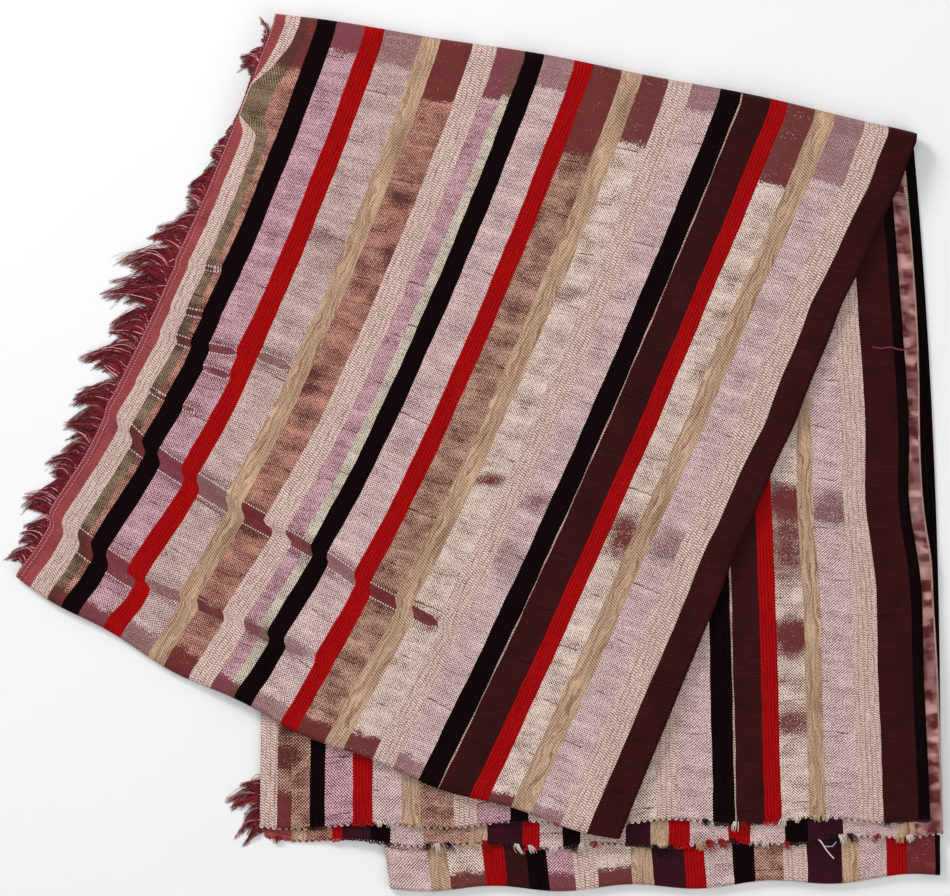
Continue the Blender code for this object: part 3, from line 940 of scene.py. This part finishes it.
def patches_at(name, points):
    """How strong the patches of a layer are at each point."""
    strength = np.zeros(len(points))
    for x, y, rx, ry, dark in PATCHES.get(name, ()):
        away = ((points[:, 0] - x) / rx) ** 2 + ((points[:, 1] - y) / ry) ** 2
        strength = np.maximum(strength, dark * np.exp(-(away ** 2)))
    return strength


def weave_values(points, owner):
    """What the weave reads at the corners of every face, its lengths in millimetres, and each face's kind."""
    step_width = np.linalg.norm(np.diff(points, axis=1), axis=2)
    from_left = np.concatenate([np.zeros((len(points), 1)), np.cumsum(step_width, axis=1)], axis=1)
    step_length = np.linalg.norm(np.diff(points[:, (COLUMNS + 1) // 2], axis=0), axis=1)
    travel = np.concatenate([[0], np.cumsum(step_length)])
    shape = (len(points) - 1, COLUMNS, 4)
    fields = {key: np.zeros(shape) for key in ("head", "tuck", "tuck_dark", "patch", "tight")}
    lengths = np.zeros((*shape, 2))
    kinds = np.zeros(shape[:2], int)
    for name, stripes in STRIPES.items():
        faces = slice(owner.index(name), owner.index(name) + owner.count(name))
        lines = slice(faces.start, faces.stop + 1)
        plan = points[lines, :, :2]
        flat = plan.reshape(-1, 2)

        # The depth in the painted shade along the folds, below 0 outside it
        stripe = np.repeat(np.arange(len(stripes)), stripe_columns(stripes))
        depths = []
        for line, reach in (("top", "head"), (LAYER[name].foot, "tail")):
            ends = on_line(LINES[line], np.linspace(0, 1, 40))
            away = corners(to_segments(flat, ends[:-1], ends[1:]).reshape(plan.shape[:2]))
            shade_zone = np.array([getattr(stripes[j], reach) or FAR for j in stripe], float)
            depths.append(shade_zone[None, :, None] - away)
        fields["head"][faces] = np.maximum(*depths)
        tuck, tuck_dark = tucks_at(name, flat)
        fields["tuck"][faces] = corners(tuck.reshape(plan.shape[:2]))
        fields["tuck_dark"][faces] = corners(tuck_dark.reshape(plan.shape[:2]))
        fields["patch"][faces] = corners(patches_at(name, flat).reshape(plan.shape[:2]))
        fields["tight"][faces] = TIGHT if name == "flap" else 1.0

        # Lengths across each stripe from its left side, and along the sheet
        starts = np.array([np.argmax(stripe == j) for j in stripe])
        lengths[faces, :, :, 0] = corners(from_left[lines]) - corners_of_rows(from_left[lines][:, starts])
        along = np.repeat(travel[lines, None], COLUMNS, axis=1)
        shift = (stripe * STRIPE_SHIFT) % SHIFT_REPEAT
        lengths[faces, :, :, 1] = corners_of_rows(along) + shift[None, :, None]
        kinds[faces] = [list(KINDS).index(stripes[j].kind) for j in stripe]
    return fields, lengths, kinds


def both_sides(values, rim_count, rim_value):
    """Corner values of the upper faces, the lower faces, whose corners run the other way, and the rim."""
    upper = values.reshape(-1, 4, *values.shape[3:])
    rim = np.full((rim_count, 4, *values.shape[3:]), rim_value)
    return np.concatenate([upper, upper[:, [0, 3, 2, 1]], rim]).ravel()


def build_sheet():
    """The folded sheet as one closed mesh: a fine grid on the folded path, with its real thickness."""
    rows = stations()
    points = sheet_points(rows)
    owner = [after.name if after and turn >= 0.5 else layer.name for layer, after, down, turn in rows[:-1]]
    fields, lengths, kinds = weave_values(points, owner)
    verts, faces = thick_sheet(points)
    materials = [WEAVES[kind.weave]("weave_" + name, kind) for name, kind in KINDS.items()]
    mesh = make_mesh("bedspread_cloth", verts, faces, materials)
    rim_kinds = [kinds[0, ::-1], kinds[-1, :], kinds[:, 0], kinds[::-1, -1]]
    rim_count = sum(len(line) for line in rim_kinds)
    mesh.polygons.foreach_set("material_index", np.concatenate([kinds.ravel(), kinds.ravel(), *rim_kinds]))
    mesh.uv_layers.new(name="cloth").data.foreach_set("uv", both_sides(lengths * MM, rim_count, 0.0))
    for key, values in fields.items():
        attribute = mesh.attributes.new(key, "FLOAT", "CORNER")
        attribute.data.foreach_set("value", both_sides(values, rim_count, RIM_VALUES.get(key, 0.0)))
    mesh.validate()
    return add_object("bedspread_cloth", mesh)


cloth = build_sheet()
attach(cloth, "root")
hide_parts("cloth")


def tube_piece(name, tubes, sides, material):
    """Many thin yarns as one piece. Each tube is a path of points, the radius at each, and a linear colour."""
    verts, faces, tones = [], [], []
    base = 0
    ring = np.arange(sides)
    angle = 2 * math.pi * ring / sides + math.pi / 4
    for path, radius, tone in tubes:
        tangent = np.gradient(path, axis=0)
        tangent /= np.linalg.norm(tangent, axis=1, keepdims=True) + 1e-9
        side = np.cross(tangent, np.array([0.0, 0.0, 1.0]))
        length = np.linalg.norm(side, axis=1, keepdims=True)
        side = np.where(length > 1e-6, side / np.maximum(length, 1e-6), np.array([1.0, 0.0, 0.0]))
        up = np.cross(side, tangent)
        circle = np.cos(angle)[None, :, None] * side[:, None] + np.sin(angle)[None, :, None] * up[:, None]
        verts.append((path[:, None] + circle * radius[:, None, None]).reshape(-1, 3))
        start = base + np.arange(len(path) - 1)[:, None] * sides
        here = start + ring
        ahead = start + (ring + 1) % sides
        faces.append(np.stack([here, ahead, ahead + sides, here + sides], axis=-1).reshape(-1, 4))
        tones.append(np.repeat(tone[None], len(path) * sides, axis=0))
        base += len(path) * sides
    mesh = make_mesh(name, np.concatenate(verts), np.concatenate(faces), [material])
    colors = mesh.attributes.new("yarn", "FLOAT_COLOR", "POINT")
    colors.data.foreach_set("color", np.concatenate(tones).ravel())
    return add_object(name, mesh)


def yarn_material(name, roughness):
    """Loose yarn: its colour varies from strand to strand and in fine patches along it."""
    n = Nodes(name)
    fibre = n.noise(n.object_point(), 900.0, 3.0)
    color = n.scale_color(n.attribute("yarn", "Color"), n.add(0.75, n.mul(fibre, 0.5)))
    return n.finish(color, fibre, 0.2, 0.4, roughness, 0.2)


def shaded(color, factor):
    """A linear colour made lighter or darker."""
    return np.array(color) * np.array([factor, factor, factor, 1.0])


def edge_frame(layer, down, across, down_step=0.0, across_step=0.0):
    """A point on a layer's edge, with the directions along that edge and out of the cloth."""
    here = on_layer(layer, np.array([down]), np.array([across]))[0]
    ahead, behind = (
        in_plan(layer, np.array([np.clip(down + step, 0, 1)]), np.array([np.clip(across + side, 0, 1)]))[0]
        for step, side in ((down_step, across_step), (-down_step, -across_step))
    )
    along = (ahead - behind) / np.linalg.norm(ahead - behind)
    return here, along, np.array([along[1], -along[0]])


# Tufts that stand out along a fringe. at: place along it, 0 at the top and 1 at the foot; reach: how far the
# tip stands out from the edge; slant: how far it leans toward the foot for each unit of reach.
Tuft = namedtuple("Tuft", "at reach slant")
FLAP_TUFTS = [Tuft(*row) for row in (
    (0.00, 17, -0.95), (0.02, 4, -0.40), (0.05, 19, 0.10), (0.075, 3, 0.30), (0.09, 3, 0.40), (0.16, 3, 0.40),
    (0.20, 12, 0.40), (0.27, 16, 0.45), (0.37, 29, 0.30), (0.43, 49, 0.23), (0.48, 47, 0.35), (0.54, 35, 0.45),
    (0.60, 46, 0.45), (0.68, 36, 0.35), (0.73, 33, 0.36), (0.80, 27, 0.40), (0.88, 25, 0.36), (0.94, 20, 0.40),
    (0.99, 18, 0.33),
)]
CORNER_TUFTS = [Tuft(*row) for row in ((0.00, 30, 0.12), (0.35, 38, 0.20), (0.75, 24, 0.42), (1.00, 22, 0.55))]
# start, end: where it begins and ends on the layer's left edge; locks: how many small locks of yarn it has;
# strands: how many in each lock
Fringe = namedtuple("Fringe", "layer start end locks strands tufts")
FRINGES = {
    "fringe_flap": Fringe("flap", 0.02, 0.985, 190, 18, FLAP_TUFTS),
    "fringe_corner": Fringe("middle", 0.93, 0.995, 20, 18, CORNER_TUFTS),
}
STRAND_RADIUS = 0.38
STRAND_STEPS = 8
STRAND_SIDES = 4
# How far the fringe reaches midway between two tufts, as a share of its full reach there
VALLEY = 0.66
# Locks that reach less than this far are drawn less toward their tuft, or lie flatter
FULL_PULL_REACH = 22.0
FULL_LIFT_REACH = 20.0
EDGE_SAMPLES = 160
FRINGE_DARK = srgb((92, 11, 22))
FRINGE_MID = srgb((130, 28, 38))
# Painted highlight: the few pale strands stand for light caught by the silky maroon yarn
FRINGE_HIGHLIGHT = srgb((212, 150, 150))


def tuft_reach(fringe, place):
    """How far the fringe reaches at a place: to its tufts' tips, and less between them."""
    places = np.array([t.at for t in fringe.tufts])
    full = np.interp(place, places, [t.reach for t in fringe.tufts])
    gap = np.abs(places - place).min()
    half_step = max(np.diff(places).mean() / 2, 1e-3)
    return full * (1 - (1 - VALLEY) * min(gap / half_step, 1.0) ** 1.3)


def make_strands(name, fringe, material, seed):
    """The loose warp ends: small locks that fan from the edge, whose strands draw together to a tip."""
    rng = np.random.default_rng(seed)
    layer = LAYER[fringe.layer]
    samples = np.linspace(0, 1, EDGE_SAMPLES)
    frames = [edge_frame(layer, fringe.start + (fringe.end - fringe.start) * v, 0.0, 0.01) for v in samples]
    edge = np.array([np.concatenate(frame) for frame in frames])
    length = float(np.linalg.norm(np.diff(edge[:, :2], axis=0), axis=1).sum())
    places = [t.at for t in fringe.tufts]
    slants = [t.slant for t in fringe.tufts]
    tubes = []
    steps = np.linspace(0, 1, STRAND_STEPS)
    arch = np.sin(steps * math.pi)
    for lock in range(fringe.locks):
        middle = (lock + rng.uniform(0.1, 0.9)) / fringe.locks
        tuft = min(fringe.tufts, key=lambda t: abs(t.at - middle))
        pull = (tuft.at - middle) * length * rng.uniform(0.35, 0.95)
        reach = tuft_reach(fringe, middle) * rng.uniform(0.62, 1.05)
        pull *= min(1.0, reach / FULL_PULL_REACH)
        slant = float(np.interp(middle, places, slants)) + rng.normal(0, 0.08)
        bend = rng.normal(-0.16, 0.08) * reach
        hook = rng.normal(0.10, 0.10) * reach
        spread = rng.uniform(3.0, 6.0)
        lift = rng.uniform(0.4, 3.0) * min(1.0, reach / FULL_LIFT_REACH)
        lock_tone = rng.uniform(0.75, 1.25)
        for strand in range(fringe.strands):
            offset = rng.uniform(-1, 1) * spread
            place = min(max(middle + offset / length, 0.0), 1.0)
            here = np.array([np.interp(place, samples, column) for column in edge.T])
            root, foot, out = here[:3], here[3:5], here[5:]
            own = reach * rng.uniform(0.72, 1.04)
            gather = pull - offset * rng.uniform(0.25, 0.8)
            wild = rng.normal(0, 0.04) * own if rng.uniform() < 0.9 else rng.normal(0, 0.18) * own
            sideways = slant * own * steps + gather * steps ** 1.3
            sideways += bend * arch + hook * steps ** 3 + wild * np.sin(steps * math.pi * 1.3)
            plan = root[:2] + out * (FRINGE_GAP + own * steps[:, None]) + foot * sideways[:, None]
            fall = 1 - smooth_step(steps / 0.6)
            height = STRAND_RADIUS + (max(root[2], 1.0) - STRAND_RADIUS) * fall
            height += (lift + rng.uniform(-0.4, 0.9)) * arch ** 1.2
            height = np.maximum(height + rng.uniform(-0.5, 0.5) * fall, STRAND_RADIUS)
            radius = STRAND_RADIUS * (1 - 0.6 * steps ** 2) * rng.uniform(0.75, 1.15)
            # A few strands are painted pale as highlight
            pick = rng.uniform()
            color = FRINGE_DARK if pick < 0.55 else (FRINGE_MID if pick < 0.93 else FRINGE_HIGHLIGHT)
            tone = shaded(color, lock_tone * rng.uniform(0.8, 1.2))
            tubes.append((np.column_stack([plan, height]), radius, tone))
    return tube_piece(name, tubes, STRAND_SIDES, material)


FIRST_FRINGE_SEED = 11
fringe_material = yarn_material("fringe_yarn_silky", 0.4)
for number, (node, fringe) in enumerate(FRINGES.items()):
    strands = make_strands(node + "_strands", fringe, fringe_material, FIRST_FRINGE_SEED + number)
    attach(strands, "root")
    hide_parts(node)

# Weft loops along the woven edges, where the weft turns back
LOOP_SEED = 31
LOOP_PITCH = 2.6
LOOP_REACH = 1.3
RIB_LOOP_FACTOR = 1.9
LOOP_RADIUS = 0.62
LOOP_ROOT = 1.2
WOVEN_EDGES = ("upper", "middle")
# How far to each side the direction of a foot is measured, as a share of its length
FOOT_STEP = 0.004


def stripe_at(name, across):
    """The kind of stripe at a share of the foot of a layer."""
    stripes = STRIPES[name]
    ends = np.cumsum([s.foot for s in stripes]) / sum(s.foot for s in stripes)
    return KINDS[stripes[min(int(np.searchsorted(ends, across)), len(stripes) - 1)].kind]


def make_selvages(material):
    rng = np.random.default_rng(LOOP_SEED)
    tubes = []
    turn = np.linspace(0, math.pi, 6)
    arch = np.sin(turn)
    for name in WOVEN_EDGES:
        line = LINES[LAYER[name].foot]
        count = int(math.hypot(line.right_x - line.left_x, line.right_y - line.left_y) / LOOP_PITCH)
        for i in range(count):
            across = (i + 0.5) / count
            here, right, out = edge_frame(LAYER[name], 1.0, across, across_step=FOOT_STEP)
            kind = stripe_at(name, across)
            ribs = kind.weave == "ribbed"
            reach = LOOP_REACH * (RIB_LOOP_FACTOR if ribs else 1.0) * rng.uniform(0.6, 1.4)
            along = -np.cos(turn) * LOOP_PITCH * 0.52 + rng.normal(0.5, 0.3) * arch
            outward_run = (LOOP_ROOT + reach) * arch - LOOP_ROOT
            plan = here[:2] + right * along[:, None] + out * outward_run[:, None]
            height = np.maximum(here[2] + 0.5 - 0.5 * arch + rng.uniform(-0.3, 0.3), LOOP_RADIUS)
            radius = np.full(len(turn), LOOP_RADIUS) * rng.uniform(0.8, 1.2)
            color = srgb(kind.deep if i % 2 and not ribs else kind.light)
            tubes.append((np.column_stack([plan, height]), radius, shaded(color, rng.uniform(0.75, 1.15))))
    return tube_piece("selvage_loops", tubes, 5, material)


# Cut ends of weft that stand out of the woven edges. across: place along the foot; count and reach of its
# strands; turn: how far it leans to the right.
Cut = namedtuple("Cut", "across color count reach turn")
WHITE = (232, 218, 206)
BUFF = (206, 178, 140)
RED = (158, 12, 14)
BLACK = (22, 10, 12)
CUTS = {
    "upper": (
        (0.150, RED, 10, 3.5, 0.6), (0.178, WHITE, 16, 4.5, 0.2), (0.196, WHITE, 10, 4.0, -0.2),
        (0.238, BUFF, 14, 3.5, 0.4), (0.710, WHITE, 12, 6.5, -0.3), (0.722, RED, 12, 7.0, 0.4),
        (0.782, WHITE, 12, 7.5, -0.8), (0.800, WHITE, 10, 4.0, 0.3), (0.830, BUFF, 18, 4.5, 0.5),
        (0.845, WHITE, 12, 4.0, -0.3), (0.935, BLACK, 10, 4.0, 0.2), (0.665, BLACK, 16, 4.0, 0.2),
    ),
    "middle": (
        (0.020, RED, 10, 5.0, -0.8), (0.255, WHITE, 16, 8.0, 0.3), (0.268, BLACK, 14, 6.0, 0.7),
        (0.243, BLACK, 10, 4.5, -0.8), (0.305, BUFF, 18, 6.0, 0.6), (0.324, RED, 18, 6.5, 0.5),
        (0.372, WHITE, 16, 6.0, 0.9), (0.392, WHITE, 16, 5.0, 0.9), (0.430, WHITE, 16, 4.5, -0.9),
        (0.455, BLACK, 20, 6.5, 0.2), (0.470, WHITE, 14, 6.0, -0.4), (0.486, RED, 12, 4.5, 0.5),
        (0.575, BLACK, 22, 6.5, 0.8), (0.600, BLACK, 14, 6.0, -0.7), (0.640, BUFF, 18, 6.5, 0.6),
        (0.655, RED, 22, 8.0, 0.1), (0.672, RED, 18, 8.0, 0.6), (0.690, BLACK, 14, 6.0, 0.7),
        (0.720, WHITE, 10, 4.0, 0.8), (0.740, WHITE, 14, 4.5, -0.3), (0.770, RED, 10, 8.0, 0.1),
        (0.850, WHITE, 20, 6.5, 0.6), (0.862, BLACK, 16, 7.0, 0.9), (0.838, BLACK, 14, 6.0, -0.5),
        (0.905, RED, 8, 6.5, -0.5), (0.935, BUFF, 16, 5.5, 0.3), (0.950, WHITE, 12, 5.0, 0.5),
    ),
}
CUT_SEED = 47
CUT_RADIUS = 0.36
CUT_ROOT = 1.8
CUT_SIDES = 4


def make_cuts(material):
    """The cut weft ends as small brushes of strands, which droop from the edge toward the layer below."""
    rng = np.random.default_rng(CUT_SEED)
    tubes = []
    steps = np.linspace(0, 1, 5)
    arch = np.sin(steps * math.pi)
    for name, cuts in CUTS.items():
        for cut in (Cut(*row) for row in cuts):
            here, right, out = edge_frame(LAYER[name], 1.0, cut.across, across_step=FOOT_STEP)
            for strand in range(cut.count):
                start = rng.uniform(-2.2, 2.2)
                lean = cut.turn + rng.normal(0, 0.35)
                reach = cut.reach * rng.uniform(0.55, 1.1)
                along = start + lean * reach * steps * 0.7 + rng.normal(0, 0.8) * arch
                outward_run = (reach + CUT_ROOT) * steps - CUT_ROOT
                plan = here[:2] + right * along[:, None] + out * outward_run[:, None]
                crown = here[2] + CLOTH_THICKNESS / 2 + rng.uniform(0.1, 1.2)
                height = np.maximum(crown - 1.2 * steps ** 2 + rng.uniform(0, 1.0) * arch, CUT_RADIUS)
                radius = CUT_RADIUS * (1 - 0.4 * steps) * rng.uniform(0.8, 1.2)
                tone = shaded(srgb(cut.color), rng.uniform(0.7, 1.15))
                tubes.append((np.column_stack([plan, height]), radius, tone))
    return tube_piece("cut_weft_ends", tubes, CUT_SIDES, material)


# Single long yarns that lie on the cloth: the layer, the points that they pass, their colour and radius
Yarn = namedtuple("Yarn", "layer points color radius")
YARNS = [
    Yarn("upper", [(336, 84), (343, 82), (351, 84), (359, 81), (367, 82), (374, 85)], (120, 40, 66), 0.8),
    Yarn("middle", [(291, -331), (294, -334), (297, -339), (301, -344), (304, -347)], WHITE, 0.55),
    Yarn("middle", [(293, -332), (296, -337), (303, -337), (306, -333)], (190, 184, 186), 0.4),
]
YARN_STEPS = 24
YARN_SIDES = 6
YARN_ROUNDING = 3


def make_yarns(material):
    tubes = []
    for yarn in YARNS:
        given = np.array(yarn.points, float)
        place = np.linspace(0, len(given) - 1, YARN_STEPS)
        plan = np.stack([np.interp(place, np.arange(len(given)), column) for column in given.T], axis=1)
        for _ in range(YARN_ROUNDING):
            plan[1:-1] = (plan[:-2] + 2 * plan[1:-1] + plan[2:]) / 4
        height = height_of(LAYER[yarn.layer], plan) + CLOTH_THICKNESS / 2 + yarn.radius
        radius = np.full(YARN_STEPS, yarn.radius)
        tubes.append((np.column_stack([plan, height]), radius, np.array(srgb(yarn.color))))
    return tube_piece("loose_yarns", tubes, YARN_SIDES, material)


weft_material = yarn_material("weft_yarn_soft", 0.7)
for piece in (make_selvages(weft_material), make_cuts(weft_material), make_yarns(weft_material)):
    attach(piece, "root")

# The photograph's frame, in millimetres on the surface: its middle and width
VIEW_X, VIEW_Y = 1.7, -1.3
VIEW_WIDTH = 798.0
CAMERA_HEIGHT = 3000.0
CLOTH_TOP = 18.0
SENSOR_WIDTH = 36.0
FLOOR_HALF = 6.0

# Soft boxes that point at the middle of the cloth. Their places and sizes are in metres.
Lamp = namedtuple("Lamp", "name place size power")
LAMPS = [
    Lamp("key", (-1.7, 1.9, 1.7), 1.0, 56.0),
    Lamp("fill", (1.8, -1.6, 2.2), 2.0, 18.0),
    Lamp("top", (0.0, 0.0, 3.4), 2.4, 27.0),
]
SKY_COLOR = (0.95, 0.97, 1.0, 1.0)
SKY_STRENGTH = 0.36


def make_floor():
    half = FLOOR_HALF
    mesh = bpy.data.meshes.new("floor")
    square = [(-half, -half, 0), (half, -half, 0), (half, half, 0), (-half, half, 0)]
    mesh.from_pydata(square, [], [(0, 1, 2, 3)])
    n = Nodes("floor_paint")
    cloud = n.noise(n.object_point(), 3.0, 2.0)
    color = n.mix(cloud, srgb((250, 250, 250)), srgb((246, 246, 246)))
    mesh.materials.append(n.finish(color, cloud, 0.05, 0.05, 0.9, 0.1))
    floor = add_object("floor", mesh)


def make_lamp(lamp):
    data = bpy.data.lights.new(lamp.name, "AREA")
    data.shape = "RECTANGLE"
    data.size = data.size_y = lamp.size
    data.energy = lamp.power
    light = add_object(lamp.name, data)
    light.location = lamp.place
    light.rotation_euler = (-Vector(lamp.place)).to_track_quat("-Z", "Y").to_euler()


make_floor()
for lamp in LAMPS:
    make_lamp(lamp)
world = bpy.data.worlds.new("studio")
world.use_nodes = True
world.node_tree.nodes["Background"].inputs[0].default_value = SKY_COLOR
world.node_tree.nodes["Background"].inputs[1].default_value = SKY_STRENGTH
bpy.context.scene.world = world
bpy.context.scene.view_settings.view_transform = "Standard"

camera_data = bpy.data.cameras.new("camera")
camera_data.sensor_width = SENSOR_WIDTH
camera_data.lens = SENSOR_WIDTH * (CAMERA_HEIGHT - CLOTH_TOP) / VIEW_WIDTH
camera = add_object("camera", camera_data)
camera.location = (VIEW_X * MM, VIEW_Y * MM, CAMERA_HEIGHT * MM)
bpy.context.scene.camera = camera
